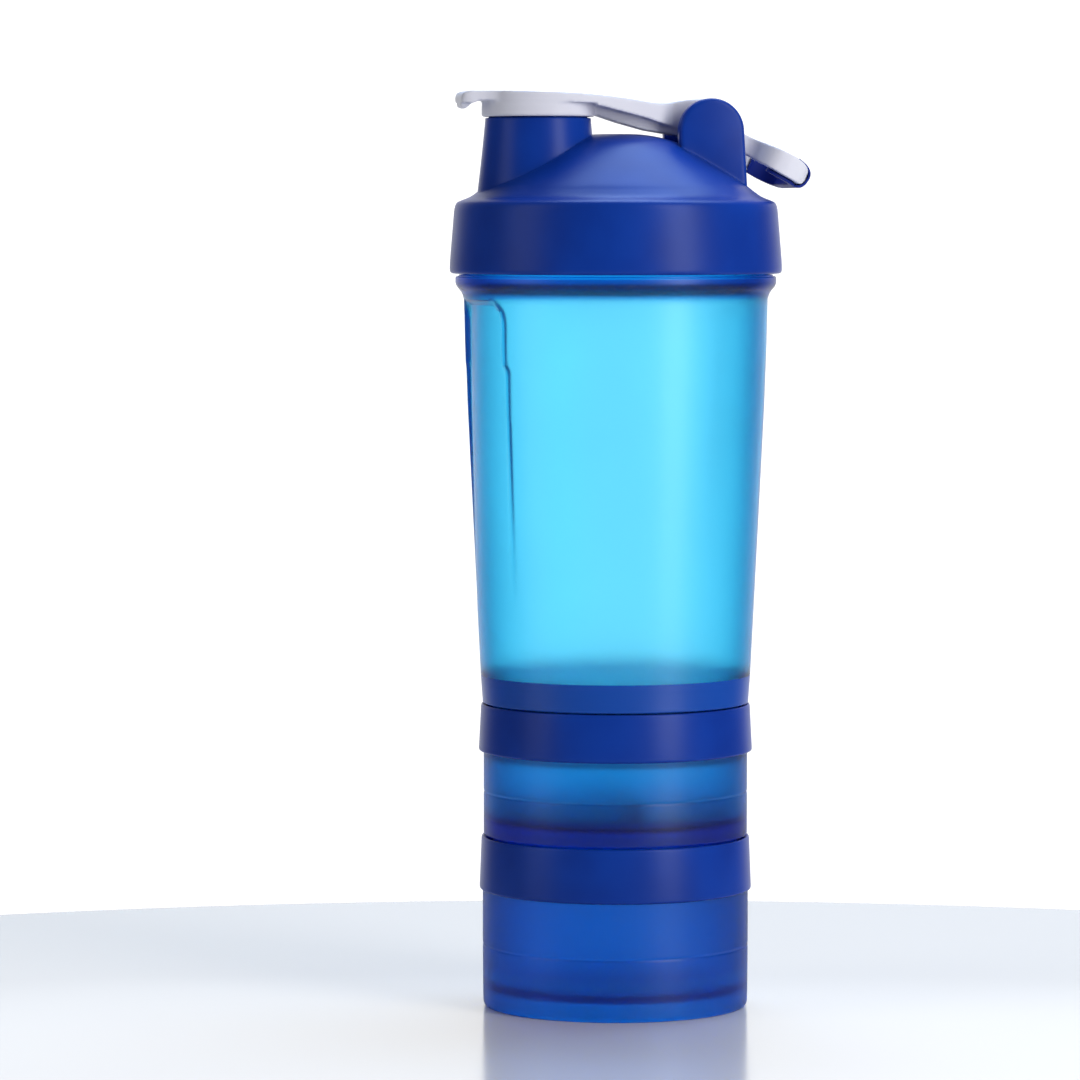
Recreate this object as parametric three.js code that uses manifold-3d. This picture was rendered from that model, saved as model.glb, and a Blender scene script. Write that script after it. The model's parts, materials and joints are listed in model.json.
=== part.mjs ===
// Protein shaker bottle on two twist-on storage cups. Millimetres, +Z up.
// The origin is at floor level in the middle of the footprint's box; the spout is towards -X and the
// hinge towards +X. Every solid is drawn about the bottle's axis and moved to its place at the end.
import * as THREE from "three";
import { mergeVertices } from "three/addons/utils/BufferGeometryUtils.js";
import Module from "manifold-3d";

const wasm = await Module();
wasm.setup();

// ---- driving dimensions -------------------------------------------------------------------------
const AXIS_X = -3.5; // the bottle's axis
const SEGMENTS = 32; // flats round a turned piece
const GAP = 0.3; // between pieces that touch
const WALL = 1.9; // of the drinking bottle
const FLOOR = 1.5; // of every vessel

const FOOT_RISE = 5.0; // lower cup's floor above the table
const LOWER_SEAM = 48.4; // top of the lower collar
const UPPER_SEAM = 86.0; // top of the upper collar
const FLANGE_TOP = 206.9;
const CAP_BOTTOM = 207.7;
const LIP = 224.5; // bottle's rim

const BOSS = { outer: 34.9, inner: 33.1, depth: 10.5 }; // screw boss under a cup or the bottle
const SOCKET = 36.6; // bore of a collar
const CUP_BORE = 35.5;
const LEDGE = 33.8; // bore of the small ledge that a seal ring lies on

const NECK = { outer: 42.0, inner: 40.2 };
const CAP_BORE = 43.8;
const PLUG = { outer: 39.5, inner: 38.0, bottom: 219.5 }; // cap's inner sealing wall

const THREAD = { starts: 3, lead: 12, arc: 70, height: 1.3, root: 1.6, crest: 1.0, mesh: 1.6 };

const SPOUT = { x: -22.3, outer: 14.9, base: 16.9, bore: 12.6, lip: 13.9, shoulder: 251.4, top: 253.0 };
const PIVOT = { x: 25.1, z: 247.6, pin: 2.0, hole: 2.3 };
const EAR = { radius: 9.3, inner: 8.5, outer: 13.0, foot: 230.0, socket: 11.8 };
const HUB = { radius: 5.3, halfWidth: 4.2 };
const EYE = { radius: 5.2, inner: 4.6, outer: 8.1 };
const LOOP = { droop: 25, tip: 30.58, halfWidth: 17.0, neck: 10.0, flare: 11.0, bend: 8.5 };
const LINING = { thickness: 1.5, lip: 1.1, top: 1.5, from: 18.5 };
const SLEEVE = { outside: 1.2, lip: 0.9, from: 26.0, half: 10.5 };

const GRIP = { centres: [190, 10], halfAngle: 21, top: 199.5, bottom: 113, depth: 2.0 };

// ---- solids -------------------------------------------------------------------------------------
const radians = THREE.MathUtils.degToRad;

/** A closed geometry as a manifold solid, with its faces turned outwards. */
function solid(geometry) {
  const plain = geometry.index ? geometry.toNonIndexed() : geometry;
  plain.deleteAttribute("uv");
  plain.deleteAttribute("normal");
  const merged = mergeVertices(plain, 1e-4);
  const index = merged.index.array;
  const kept = [];
  for (let i = 0; i < index.length; i += 3) {
    const [a, b, c] = [index[i], index[i + 1], index[i + 2]];
    if (a !== b && b !== c && a !== c) kept.push(a, b, c);
  }
  const build = (triangles) =>
    new wasm.Manifold(
      new wasm.Mesh({
        numProp: 3,
        vertProperties: Float32Array.from(merged.attributes.position.array),
        triVerts: Uint32Array.from(triangles),
      }),
    );
  const made = build(kept);
  if (made.volume() > 0) return made;
  const flipped = [];
  for (let i = 0; i < kept.length; i += 3) flipped.push(kept[i], kept[i + 2], kept[i + 1]);
  return build(flipped);
}

/** A manifold solid as a geometry for a mesh. */
function geometryOf(made) {
  const { vertProperties, triVerts } = made.getMesh();
  const geometry = new THREE.BufferGeometry();
  geometry.setAttribute("position", new THREE.BufferAttribute(vertProperties, 3));
  geometry.setIndex(new THREE.BufferAttribute(triVerts, 1));
  geometry.computeVertexNormals();
  return geometry;
}

const joined = (solids) => solids.reduce((all, next) => all.add(next));

/** A body turned about Z from a profile of [radius, height] points that closes on itself or on the axis. */
function turned(profile, segments = SEGMENTS) {
  const points = profile.map(([r, z]) => new THREE.Vector2(r, z));
  const closes = profile[0][0] > 0 || profile[profile.length - 1][0] > 0;
  if (closes) points.push(points[0].clone());
  return solid(new THREE.LatheGeometry(points, segments).rotateX(Math.PI / 2));
}

const ring = (inner, outer, low, high) =>
  turned([[inner, low], [outer, low], [outer, high], [inner, high]]);

const disc = (radius, low, high, segments = SEGMENTS) =>
  turned([[0, low], [radius, low], [radius, high], [0, high]], segments);

/** A cylinder about an axis parallel to Y. */
function crossPin(radius, x, z, from, to, segments = 16) {
  const geometry = new THREE.CylinderGeometry(radius, radius, to - from, segments);
  return solid(geometry.translate(x, (from + to) / 2, z));
}

/** A shape drawn in XY, standing from one height to another. */
function standing(shape, low, high, curveSegments = 6) {
  const options = { depth: high - low, bevelEnabled: false, curveSegments };
  return solid(new THREE.ExtrudeGeometry(shape, options).translate(0, 0, low));
}

/** A shape drawn in XZ, running along Y. */
function along(shape, from, to, curveSegments = 6) {
  const options = { depth: to - from, bevelEnabled: false, curveSegments };
  const geometry = new THREE.ExtrudeGeometry(shape, options);
  return solid(geometry.rotateX(Math.PI / 2).translate(0, to, 0));
}

const outline = (points) => new THREE.Shape(points.map(([a, b]) => new THREE.Vector2(a, b)));

/** Points round a circle in XY. */
function circle(radius, count = SEGMENTS) {
  const angles = Array.from({ length: count }, (_, i) => (2 * Math.PI * i) / count);
  return angles.map((a) => [radius * Math.cos(a), radius * Math.sin(a)]);
}

/** A pie slice of a ring in XY, between two angles in degrees. */
function sector(inner, outer, from, to, steps = 6) {
  const at = (r, angle) => [r * Math.cos(radians(angle)), r * Math.sin(radians(angle))];
  const angles = Array.from({ length: steps + 1 }, (_, i) => from + ((to - from) * i) / steps);
  return angles.map((a) => at(outer, a)).concat(angles.reverse().map((a) => at(inner, a)));
}

// ---- screw threads ------------------------------------------------------------------------------
/** One lug of a quick thread: a trapezoid swept up a helix from the wall radius to the crest. */
function lug(wall, outward, startAngle, height) {
  const steps = 6;
  const side = outward ? 1 : -1;
  const radii = [wall - side * 0.5, wall + side * THREAD.height];
  const positions = [];
  for (let i = 0; i <= steps; i++) {
    const turn = (THREAD.arc * i) / steps;
    const angle = radians(startAngle + turn);
    const z = height + (THREAD.lead * turn) / 360;
    const ends = i === 0 || i === steps ? 0.6 : 1;
    for (const [r, half] of [[radii[0], THREAD.root / 2], [radii[1], (THREAD.crest / 2) * ends]]) {
      positions.push(r * Math.cos(angle), r * Math.sin(angle), z - half);
      positions.push(r * Math.cos(angle), r * Math.sin(angle), z + half);
    }
  }
  const around = [0, 2, 3, 1]; // inner low, crest low, crest high, inner high
  const index = [];
  for (let i = 0; i < steps; i++) {
    for (let k = 0; k < 4; k++) {
      const [a, b] = [4 * i + around[k], 4 * i + around[(k + 1) % 4]];
      index.push(a, b, b + 4, a, b + 4, a + 4);
    }
  }
  const last = 4 * steps;
  index.push(0, 3, 2, 0, 1, 3, last, last + 2, last + 3, last, last + 3, last + 1);
  const geometry = new THREE.BufferGeometry();
  geometry.setAttribute("position", new THREE.Float32BufferAttribute(positions, 3));
  geometry.setIndex(index);
  return solid(geometry);
}

/** All the lugs of one thread, spaced evenly. A socket's lugs lie just above the boss's. */
function thread(wall, outward, height) {
  const lugs = [];
  for (let i = 0; i < THREAD.starts; i++) {
    const start = (360 * i) / THREAD.starts;
    lugs.push(lug(wall, outward, start, outward ? height : height + THREAD.mesh));
  }
  return joined(lugs);
}

const bossThread = (seam) => thread(BOSS.outer, true, seam - BOSS.depth + 2.2);
const socketThread = (seam) => thread(SOCKET, false, seam - BOSS.depth + 2.2);
const CAP_THREAD = 213.4;

// ---- storage cups -------------------------------------------------------------------------------
/** The threaded collar's profile, from the ledge that carries the seal up to the seam and down outside. */
function collarProfile(seam, low, topRadius, lowRadius) {
  const seat = seam - BOSS.depth - 2.1;
  return [
    [CUP_BORE, seat - 2.6], [LEDGE, seat - 1.3], [LEDGE, seat], [SOCKET, seat], [SOCKET, seam - 0.8],
    [SOCKET + 0.5, seam], [topRadius - 0.4, seam], [topRadius, seam - 0.5], [lowRadius, low + 0.5],
    [lowRadius - 0.4, low],
  ];
}

function lowerCup() {
  const collarLow = 33.4;
  const body = turned([
    [0, FOOT_RISE + FLOOR], [CUP_BORE - 1.5, FOOT_RISE + FLOOR], [CUP_BORE, FOOT_RISE + FLOOR + 1.5],
    ...collarProfile(LOWER_SEAM, collarLow, 38.0, 38.6),
    [37.8, collarLow], [37.6, 1.6], [37.0, 0.5], [36.2, 0], [35.0, 0], [35.0, FOOT_RISE - 0.8],
    [34.2, FOOT_RISE], [0, FOOT_RISE],
  ]);
  return body.add(socketThread(LOWER_SEAM));
}

/** The hollow screw boss under a vessel, from its shoulder on the seam round to the vessel's underside. */
function bossProfile(seam, underside) {
  const low = seam - BOSS.depth;
  return [
    [BOSS.outer, seam + GAP], [BOSS.outer, low + 0.4], [BOSS.outer - 0.4, low], [BOSS.inner, low],
    [BOSS.inner, underside - 1.0], [BOSS.inner - 1.0, underside], [0, underside],
  ];
}

const UPPER_FLOOR = 54.0;

function upperCup() {
  const collarLow = 72.7;
  const body = turned([
    [0, UPPER_FLOOR], [CUP_BORE - 1.5, UPPER_FLOOR], [CUP_BORE, UPPER_FLOOR + 1.5],
    ...collarProfile(UPPER_SEAM, collarLow, 38.1, 38.8),
    [37.4, collarLow], [37.4, LOWER_SEAM + 1.0], [36.9, LOWER_SEAM + GAP],
    ...bossProfile(LOWER_SEAM, UPPER_FLOOR - FLOOR),
  ]);
  return joined([body, bossThread(LOWER_SEAM), socketThread(UPPER_SEAM)]);
}

/** The silicone ring that a boss presses on the ledge of the collar below it. */
function sealRing(seam) {
  const low = seam - BOSS.depth - 2.1 + GAP;
  return ring(LEDGE + 0.2, SOCKET - 1.6, low, low + 1.5);
}

/** A round tray whose cross of walls makes four pockets. */
function pillTray() {
  const radius = 33.4;
  const low = UPPER_FLOOR + GAP;
  const [high, floor, wall, divider, steps] = [61.2, 1.2, 1.3, 0.7, 8];
  const inner = radius - wall;
  const first = Math.asin(divider / inner);
  const arc = Array.from({ length: steps + 1 }, (_, i) => first + ((Math.PI / 2 - 2 * first) * i) / steps);
  const pocket = outline([[divider, divider], ...arc.map((a) => [inner * Math.cos(a), inner * Math.sin(a)])]);
  const space = standing(pocket, low + floor, high + 1);
  const pockets = [0, 90, 180, 270].map((angle) => space.rotate([0, 0, angle]));
  return disc(radius, low, high).subtract(joined(pockets));
}

// ---- drinking bottle ----------------------------------------------------------------------------
/** Outside radius of the tapered body at a height. */
function bodyRadius(z) {
  const stations = [[86.3, 37.7], [94, 38.2], [142, 40.6], [170.5, 42.0], [187.5, 42.6], [201, 42.9]];
  const i = Math.max(1, stations.findIndex(([height]) => height >= z));
  const [[z0, r0], [z1, r1]] = [stations[i - 1], stations[i]];
  return r0 + ((r1 - r0) * (z - z0)) / (z1 - z0);
}

/** The space that a finger recess takes out of the wall, grown inwards by a margin for the inner wall. */
function gripSpace(centre, margin) {
  const level = (z) => bodyRadius(z) - (GRIP.depth * (z - GRIP.bottom)) / (GRIP.top - GRIP.bottom);
  const [low, high] = [GRIP.bottom, GRIP.top + margin];
  const band = turned([
    [level(low) - margin, low - margin], [60, low - margin], [60, high], [level(GRIP.top) - margin, high],
    [level(150) - margin, 150],
  ]);
  const spread = GRIP.halfAngle + THREE.MathUtils.radToDeg(margin / level(high - margin));
  return band.intersect(standing(outline(sector(20, 70, centre - spread, centre + spread, 4)), 90, 210));
}

function bottle() {
  const floor = 92.8;
  const heights = [94.5, 142, 170.5, 187.5, 199];
  const outer = turned([
    [0, LIP], [NECK.outer - 0.5, LIP], [NECK.outer, LIP - 0.5], [NECK.outer, CAP_BOTTOM - GAP],
    [44.4, CAP_BOTTOM - GAP], [44.4, FLANGE_TOP], [45.3, FLANGE_TOP - 0.5], [45.3, 204.4], [43.7, 202.6],
    [42.9, 201], ...heights.toReversed().map((z) => [bodyRadius(z), z]), [37.7, UPPER_SEAM + 1],
    [37.2, UPPER_SEAM + GAP], [BOSS.outer, UPPER_SEAM + GAP], [BOSS.outer, UPPER_SEAM - BOSS.depth],
    [0, UPPER_SEAM - BOSS.depth],
  ]);
  const inside = turned([
    [0, floor], [34.8, floor], ...heights.map((z) => [bodyRadius(z) - WALL, z]), [41.0, 202],
    [NECK.inner, 205], [NECK.inner, LIP + 1], [0, LIP + 1],
  ]);
  const under = disc(BOSS.inner, UPPER_SEAM - BOSS.depth - 1, floor - FLOOR);
  const room = joined(GRIP.centres.map((c) => gripSpace(c, WALL)));
  const recess = joined(GRIP.centres.map((c) => gripSpace(c, 0)));
  const shell = outer.subtract(recess).subtract(inside.subtract(room)).subtract(under);
  return joined([shell, bossThread(UPPER_SEAM), thread(NECK.outer, true, CAP_THREAD)]);
}

// ---- cap ----------------------------------------------------------------------------------------
const CAP_SKIN = [
  [45.2, 227.6], [43.4, 228.4], [38.6, 231.3], [36.0, 233.2], [20.1, 243.5], [14.5, 245.7], [7.5, 246.8],
  [0, 247.0],
];
const CAP_INSIDE = [
  [CAP_BORE, 226.6], [39.8, 226.6], [37.6, 229.0], [34.6, 231.6], [19.5, 241.1], [13.5, 243.6], [0, 245.0],
];

function ears() {
  const { x, z } = PIVOT;
  const side = new THREE.Shape();
  side.moveTo(x + EAR.radius + 1.0, EAR.foot);
  side.lineTo(x + EAR.radius, z);
  side.absarc(x, z, EAR.radius, 0, Math.PI, false);
  side.lineTo(x - EAR.radius + 0.6, EAR.foot);
  const pair = [-1, 1].map((hand) => {
    const [from, to] = [hand * EAR.inner, hand * EAR.outer].sort((a, b) => a - b);
    return along(side, from, to, 8);
  });
  return joined(pair).subtract(crossPin(PIVOT.hole, x, z, -EAR.socket, EAR.socket));
}

function cap() {
  const skin = turned([
    [0, CAP_BOTTOM], [46.4, CAP_BOTTOM], [47.0, CAP_BOTTOM + 1.2], [46.8, 215.0], [45.6, 226.2],
    ...CAP_SKIN,
  ]);
  const { x, outer, base, shoulder, top, lip, bore } = SPOUT;
  const spout = turned([
    [0, 226], [base + 0.6, 226], [base - 0.2, 233], [outer + 0.5, 240], [outer, shoulder - 0.6],
    [outer - 0.6, shoulder], [lip, shoulder], [lip - 0.4, top], [0, top],
  ]).translate([x, 0, 0]);
  const cavity = turned([
    [0, CAP_BOTTOM - 1], [44.9, CAP_BOTTOM - 1], [44.9, CAP_BOTTOM], [CAP_BORE, 210.5], ...CAP_INSIDE,
  ]);
  const drink = turned([[0, 225], [bore, 225], [bore, top - 1.2], [bore + 0.7, top + 1], [0, top + 1]]);
  const shell = joined([skin, spout, ears()]).subtract(cavity).subtract(drink.translate([x, 0, 0]));
  const plug = ring(PLUG.inner, PLUG.outer, PLUG.bottom, 229.5).intersect(skin);
  return joined([shell, plug, thread(CAP_BORE, false, CAP_THREAD)]);
}

const capGasket = () => ring(PLUG.outer + GAP, NECK.outer, LIP + GAP, 226.6 - GAP);

/** The strainer clipped inside the cap's sealing wall: rings of curved slots in a rimmed disc. */
function mixingGrid() {
  const radius = PLUG.inner - GAP;
  const [low, high, clip, web] = [215.0, 217.0, 225.0, 2.2];
  const slots = [disc(2.6, low - 1, high + 1, 10)];
  for (const [inner, outer, count] of [[6, 13, 3], [17, 31.5, 6]]) {
    const margin = THREE.MathUtils.radToDeg(web / inner) / 2;
    const steps = Math.round(24 / count);
    const slot = outline(sector(inner, outer, margin, 360 / count - margin, steps));
    const space = standing(slot, low - 1, high + 1);
    for (let i = 0; i < count; i++) slots.push(space.rotate([0, 0, (360 * i) / count]));
  }
  return disc(radius, low, high).subtract(joined(slots)).add(ring(radius - 1.6, radius, low + 0.4, clip));
}

// ---- flip arm and its plug ----------------------------------------------------------------------
const COVER = { radius: 15.9, bore: 14.3, skirt: 251.7, roof: 255.4 };

/** The lever's side view: thumb tab, flat run over the spout, dip, and the block round the hub. */
function leverSide() {
  const { x, z } = PIVOT;
  const side = new THREE.Shape();
  side.moveTo(-45.1, 257.0);
  side.quadraticCurveTo(-45.0, 258.9, -42.5, 258.9);
  side.lineTo(-27.5, 258.6);
  side.quadraticCurveTo(-8.0, 258.4, 7.0, 256.0);
  side.quadraticCurveTo(12.0, 255.1, 17.0, 256.1);
  side.quadraticCurveTo(21.0, 256.8, x, z + 9.2);
  side.absarc(x, z, 9.2, Math.PI / 2, Math.PI / 4, true);
  side.lineTo(x + HUB.radius, z);
  side.absarc(x, z, HUB.radius, 0, -Math.PI * 0.75, true);
  side.lineTo(17.5, 246.4);
  side.lineTo(8.0, 248.0);
  side.lineTo(0.0, 250.2);
  side.lineTo(-6.6, 252.4);
  side.lineTo(-8.0, COVER.roof);
  side.lineTo(-39.0, 256.3);
  side.lineTo(-41.5, 255.6);
  side.lineTo(-43.5, 253.9);
  side.lineTo(-44.9, 254.3);
  return side;
}

/** The lever seen from above: it widens from the hub to the round cover and ends in the thumb tab. */
function leverPlan() {
  const half = [
    [PIVOT.x + 11, HUB.halfWidth], [15.5, HUB.halfWidth], [12.0, 6.6], [4.0, 10.0], [-4.0, 12.6],
    [-12.0, 14.8], [SPOUT.x, COVER.radius], [-33.5, 11.3], [-37.8, 8.2], [-43.0, 7.2], [-46.0, 5.6],
  ];
  const other = half.map(([x, y]) => [x, -y]).reverse();
  return outline([...half, ...other]);
}

function flipArm() {
  const lever = along(leverSide(), -20, 20, 5).intersect(standing(leverPlan(), 240, 262));
  const above = outline([
    [-50, 255.7], [-7, 254.7], [7, 251.4], [17, 248.4], [40, 240], [40, 262], [-50, 262],
  ]);
  const plate = lever.intersect(along(above, -20, 20)); // the rib under it is narrower
  const rib = along(leverSide(), -3.4, 3.4, 5);
  const cover = turned([
    [0, COVER.roof], [COVER.bore, COVER.roof], [COVER.bore, COVER.skirt], [COVER.radius, COVER.skirt],
    [COVER.radius, 255.9], [14.6, 257.8], [0, 258.2],
  ]).translate([SPOUT.x, 0, 0]);
  const hub = crossPin(HUB.radius, PIVOT.x, PIVOT.z, -HUB.halfWidth, HUB.halfWidth);
  const hole = crossPin(PIVOT.hole, PIVOT.x, PIVOT.z, -10, 10);
  return joined([plate, rib, cover, hub]).subtract(hole);
}

const spoutStopper = () =>
  turned([
    [0, 247.2], [10.6, 247.2], [11.6, 248.4], [12.1, 253.6], [13.2, 254.4], [13.2, COVER.roof - GAP],
    [0, COVER.roof - GAP],
  ], 24).translate([SPOUT.x, 0, 0]);

const hingePin = () =>
  crossPin(PIVOT.pin, PIVOT.x, PIVOT.z, -EAR.socket + GAP, EAR.socket - GAP);

// ---- carry loop ---------------------------------------------------------------------------------
// It is drawn lying flat: u runs from the pivot to the tip along X, its height v along Z. The droop
// then turns it about the pivot.
/** Side view of the strap, grown by a margin all round. */
function strapSide(margin) {
  const side = new THREE.Shape();
  const tip = LOOP.tip + margin;
  side.moveTo(0, 4.1 + margin);
  side.lineTo(25.0, 3.3 + margin);
  side.quadraticCurveTo(tip, 2.7 + margin, tip, 0.2);
  side.quadraticCurveTo(tip - 0.2, -2.7 - margin, tip - 2.6, -2.9 - margin);
  side.quadraticCurveTo(18, -2.9 - margin, 13, -1.5 - margin);
  side.lineTo(0, -0.4 - margin);
  return side;
}

/** Half of a U in plan at a distance inside the strap's outer line: hub, flare, side and rounded corner. */
function strapLine(inset) {
  const { tip, halfWidth, neck, flare: length, bend } = LOOP;
  const [end, side, hub] = [tip - inset, halfWidth - inset, EYE.outer - inset];
  const points = [[0, hub], [neck, hub]];
  const flare = new THREE.CubicBezierCurve(
    new THREE.Vector2(neck, hub), new THREE.Vector2(neck + length / 2, hub),
    new THREE.Vector2(neck + length / 2, side), new THREE.Vector2(neck + length, side),
  );
  for (const p of flare.getPoints(6).slice(1)) points.push([p.x, p.y]);
  const radius = bend - inset;
  for (let i = 0; i <= 6; i++) {
    const angle = radians(90 - 15 * i);
    points.push([end - radius + radius * Math.cos(angle), side - radius + radius * Math.sin(angle)]);
  }
  return points;
}

/** The U-shaped band between two insets of the strap's outer line, from a distance along it. */
function strapBand(outerInset, innerInset, margin, from = 0) {
  const outer = strapLine(outerInset);
  const inner = strapLine(innerInset);
  const whole = (half) => [...half, ...half.map(([u, y]) => [u, -y]).reverse()];
  const closed = standing(outline(whole(outer)), -12, 12);
  const opened = standing(outline(whole([[-1, inner[0][1]], ...inner.slice(1)])), -13, 13);
  const window = standing(outline([[from, -40], [60, -40], [60, 40], [from, 40]]), -11, 11);
  return closed.subtract(opened).intersect(along(strapSide(margin), -30, 30)).intersect(window);
}

const droop = (flat) => flat.rotate([0, LOOP.droop, 0]).translate([PIVOT.x, 0, PIVOT.z]);

const STRAP = 2.4; // white band's thickness

function carryLoop() {
  const eyes = [-1, 1].map((hand) => {
    const [from, to] = [hand * EYE.inner, hand * EYE.outer].sort((a, b) => a - b);
    return crossPin(EYE.radius, 0, 0, from, to);
  });
  const band = strapBand(0, STRAP, 0);
  return droop(joined([band, ...eyes]).subtract(crossPin(PIVOT.hole, 0, 0, -20, 20)));
}

/** Soft lining: inside the strap from its flare on, lipped over its edges, and a sleeve round the tip. */
function carryLoopGrip() {
  const inner = STRAP + LINING.thickness;
  const slab = (reach, low, high) =>
    standing(outline([[0, -reach], [60, -reach], [60, reach], [0, reach]]), low, high);
  const sleeve = strapBand(-SLEEVE.outside, inner, SLEEVE.lip, SLEEVE.from)
    .intersect(slab(SLEEVE.half, -12, 12));
  const lining = strapBand(STRAP - 0.5, inner, LINING.lip, LINING.from)
    .intersect(slab(30, -12, LINING.top));
  const cut = strapBand(-2, STRAP + GAP, GAP);
  return droop(sleeve.add(lining).subtract(cut));
}

// ---- assembly -----------------------------------------------------------------------------------
const plastic = (color, roughness) => new THREE.MeshStandardMaterial({ color, roughness, metalness: 0 });
const CAP_BLUE = 0x11388d;
const CUP_BLUE = 0x1149a5;
const BOTTLE_BLUE = 0x54dcfe;
const WHITE = 0xd8d8e0;
const SILICONE = 0xe6e9ee;

const shaker = new THREE.Group();

function piece(name, made, color, roughness) {
  const mesh = new THREE.Mesh(geometryOf(made.translate([AXIS_X, 0, 0])), plastic(color, roughness));
  mesh.name = name;
  shaker.add(mesh);
}

piece("lower_cup", lowerCup(), CUP_BLUE, 0.35);
piece("lower_seal_ring", sealRing(LOWER_SEAM), SILICONE, 0.6);
piece("upper_cup", upperCup(), CUP_BLUE, 0.35);
piece("pill_tray", pillTray(), CUP_BLUE, 0.4);
piece("upper_seal_ring", sealRing(UPPER_SEAM), SILICONE, 0.6);
piece("bottle", bottle(), BOTTLE_BLUE, 0.3);
piece("mixing_grid", mixingGrid(), WHITE, 0.4);
piece("cap_gasket", capGasket(), SILICONE, 0.6);
piece("cap", cap(), CAP_BLUE, 0.35);
piece("hinge_pin", hingePin(), WHITE, 0.4);
piece("flip_arm", flipArm(), WHITE, 0.4);
piece("spout_stopper", spoutStopper(), SILICONE, 0.6);
piece("carry_loop", carryLoop(), WHITE, 0.4);
piece("carry_loop_grip", carryLoopGrip(), CAP_BLUE, 0.5);

export default shaker;
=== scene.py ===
"""Looks of the protein shaker bottle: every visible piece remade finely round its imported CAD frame.

Sizes are millimetres in the dataclasses and metres in Blender. Heights hang on the frame's own seams, lip
and hinge, so that each fine piece lies where its CAD node does.
"""

import json
import logging
import math
from collections.abc import Callable, Sequence
from dataclasses import dataclass, field, replace
from enum import Enum

import bpy
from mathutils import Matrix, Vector


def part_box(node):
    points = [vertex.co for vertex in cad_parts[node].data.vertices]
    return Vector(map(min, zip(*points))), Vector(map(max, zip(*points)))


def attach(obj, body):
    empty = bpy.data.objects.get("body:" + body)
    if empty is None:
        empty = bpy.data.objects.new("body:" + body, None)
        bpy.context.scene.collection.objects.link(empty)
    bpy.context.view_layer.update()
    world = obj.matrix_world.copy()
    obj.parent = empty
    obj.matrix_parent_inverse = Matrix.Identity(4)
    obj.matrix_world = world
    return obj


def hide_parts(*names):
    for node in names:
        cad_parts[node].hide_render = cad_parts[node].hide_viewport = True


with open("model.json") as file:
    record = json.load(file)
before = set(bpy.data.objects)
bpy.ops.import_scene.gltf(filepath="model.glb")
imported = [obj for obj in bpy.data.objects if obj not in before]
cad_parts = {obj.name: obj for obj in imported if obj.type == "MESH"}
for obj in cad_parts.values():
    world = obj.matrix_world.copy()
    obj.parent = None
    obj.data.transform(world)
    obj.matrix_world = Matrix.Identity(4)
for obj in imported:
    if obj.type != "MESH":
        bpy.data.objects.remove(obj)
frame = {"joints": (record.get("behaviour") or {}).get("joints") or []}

LOG = logging.getLogger("shaker")
MM = 0.001
Point = tuple[float, float]
Corner = tuple[float, ...]
Colour = tuple[float, float, float]
WHITE: Colour = (1.0, 1.0, 1.0)
GAP = 0.3
PIN_HOLE = 2.3


# ---- the frame ----------------------------------------------------------------------------------
@dataclass(frozen=True)
class Frame:
    """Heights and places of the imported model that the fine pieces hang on, in millimetres.

    Everything but axis_x is told from the bottle's axis.
    """

    axis_x: float
    lower_seam: float
    upper_seam: float
    lip: float
    cap_bottom: float
    cap_radius: float
    pivot_x: float
    pivot_z: float

    @classmethod
    def read(cls) -> "Frame":
        """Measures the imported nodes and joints."""
        pivot = next(j for j in frame["joints"] if j["name"] == "flip_arm_pivot")["pos_m"]
        low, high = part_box("lower_cup")
        axis = (low.x + high.x) / 2 / MM
        return cls(
            axis_x=axis,
            lower_seam=high.z / MM,
            upper_seam=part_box("upper_cup")[1].z / MM,
            lip=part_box("bottle")[1].z / MM,
            cap_bottom=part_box("cap")[0].z / MM,
            cap_radius=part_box("cap")[1].y / MM,
            pivot_x=pivot[0] / MM - axis,
            pivot_z=pivot[2] / MM,
        )


AT = Frame.read()


# ---- outlines -----------------------------------------------------------------------------------
def arc(centre: Point, radius: float, start: float, end: float, steps: int = 12) -> list[Point]:
    """Points on a circle from one angle to another.

    Args:
        centre: The circle's middle.
        radius: Its radius.
        start: First angle in degrees.
        end: Last angle in degrees.
        steps: Number of chords.

    Returns:
        The points, both ends among them.
    """
    angles = [math.radians(start + (end - start) * i / steps) for i in range(steps + 1)]
    return [(centre[0] + radius * math.cos(a), centre[1] + radius * math.sin(a)) for a in angles]


def bend(start: Point, pull: Point, end: Point, steps: int = 8) -> list[Point]:
    """Points on a quadratic curve, without its first point.

    Args:
        start: Where the curve leaves.
        pull: The control point.
        end: Where it arrives.
        steps: Number of chords.

    Returns:
        The points after the start.
    """
    made = []
    for i in range(1, steps + 1):
        t = i / steps
        a, b, c = (1 - t) ** 2, 2 * t * (1 - t), t * t
        made.append((a * start[0] + b * pull[0] + c * end[0], a * start[1] + b * pull[1] + c * end[1]))
    return made


def eased(corners: Sequence[Corner], steps: int = 5) -> list[Point]:
    """An open outline whose corners are rounded, each over less than half of its edges.

    Args:
        corners: Points as (r, z), or (r, z, radius) where the corner is eased.
        steps: Chords in each eased corner.

    Returns:
        The outline's points.
    """
    most = 0.45
    made: list[Point] = []
    for i, corner in enumerate(corners):
        here = (corner[0], corner[1])
        if len(corner) < 3 or i in (0, len(corners) - 1):
            made.append(here)
            continue
        before, after = corners[i - 1], corners[i + 1]
        ends = []
        for other in (before, after):
            away = math.hypot(other[0] - here[0], other[1] - here[1])
            share = min(corner[2] / away, most)
            ends.append((here[0] + (other[0] - here[0]) * share, here[1] + (other[1] - here[1]) * share))
        made.append(ends[0])
        made.extend(bend(ends[0], here, ends[1], steps))
    return made


def smooth(t: float) -> float:
    """A share from 0 to 1, eased at both ends."""
    return t * t * (3 - 2 * t)


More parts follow.
